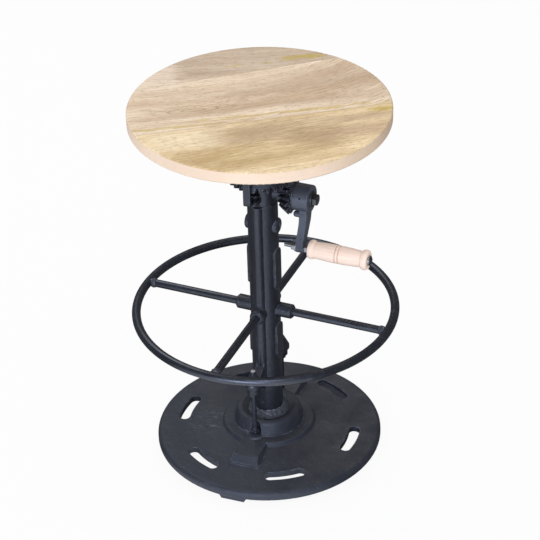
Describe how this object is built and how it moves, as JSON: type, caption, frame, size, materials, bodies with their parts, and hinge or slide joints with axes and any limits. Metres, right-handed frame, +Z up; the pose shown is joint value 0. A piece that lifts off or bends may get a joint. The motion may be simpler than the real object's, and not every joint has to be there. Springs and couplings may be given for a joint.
{
  "type": "crank stool",
  "caption": "Round wooden seat on a cast column with a bevel-gear crank that lifts it, a spoked foot ring and a round slotted base.",
  "frame": {"origin": "on the floor, under the column's axis", "axes": "+Z up, +X out along the crank's axis, +Y to the back"},
  "size_m": [0.381, 0.381, 0.5537],
  "materials": {
    "cast_black": "semi-gloss black",
    "bar_black": "satin black",
    "steel": "dull zinc",
    "bronze": "machined",
    "seat_wood": "sanded and oiled",
    "grip_wood": "turned and oiled"
  },
  "bodies": {
    "stand": {"base_casting": "cast_black", "column_nut": "bar_black", "column": "cast_black", "column_weld": "bar_black", "stay_rods": "bar_black", "stay_nuts": "bar_black", "stay_washers": "bar_black", "foot_ring": "bar_black", "foot_spokes": "bar_black", "spoke_sockets": "cast_black", "spoke_welds": "bar_black", "key_screws": "bar_black", "head_casting": "cast_black", "spindle_bush": "bronze", "thrust_washer_low": "bronze", "thrust_washer_high": "bronze", "gear_stirrup": "bar_black", "stirrup_bolts": "bar_black", "crank_stud": "steel", "crank_bolt": "steel", "crank_washer": "steel"},
    "crank": {"bevel_pinion": "cast_black", "drive_pins": "steel", "crank_bush": "bronze", "crank_arm": "cast_black", "crank_peg": "cast_black", "handle_bolt": "steel", "handle_nuts": "steel", "handle_washers": "steel"},
    "grip": {"hand_grip": "grip_wood"},
    "gear": {"crown_gear": "cast_black", "lift_nut": "bronze"},
    "spindle": {"lift_spindle": "steel", "spindle_foot": "steel", "spindle_foot_screw": "steel", "pivot_bolt": "steel", "pivot_washer": "steel", "swivel_washer": "bronze"},
    "seat": {"seat_board": "seat_wood", "seat_flange": "cast_black", "swivel_bush": "bronze", "seat_screws": "steel"}
  },
  "joints": [
    {"name": "crank_turn", "type": "hinge", "parent": "stand", "child": "crank", "pos_m": [0, 0, 0.4242], "axis": [1, 0, 0], "range_deg": [0, 9270]},
    {"name": "grip_spin", "type": "hinge", "parent": "crank", "child": "grip", "pos_m": [0.1, 0, 0.3432], "axis": [1, 0, 0], "continuous": true},
    {"name": "gear_turn", "type": "hinge", "parent": "stand", "child": "gear", "pos_m": [0, 0, 0.4242], "axis": [0, 0, 1], "range_deg": [-4800, 0]},
    {"name": "seat_lift", "type": "slide", "parent": "stand", "child": "spindle", "axis": [0, 0, 1], "range_m": [0, 0.16]},
    {"name": "seat_swivel", "type": "hinge", "parent": "spindle", "child": "seat", "pos_m": [0, 0, 0.5], "axis": [0, 0, 1], "continuous": true}
  ],
  "couplings": [
    {"joint": "gear_turn", "follows": "crank_turn", "ratio": -0.51724},
    {"joint": "seat_lift", "follows": "crank_turn", "m_per_rad": 0.00098786}
  ]
}
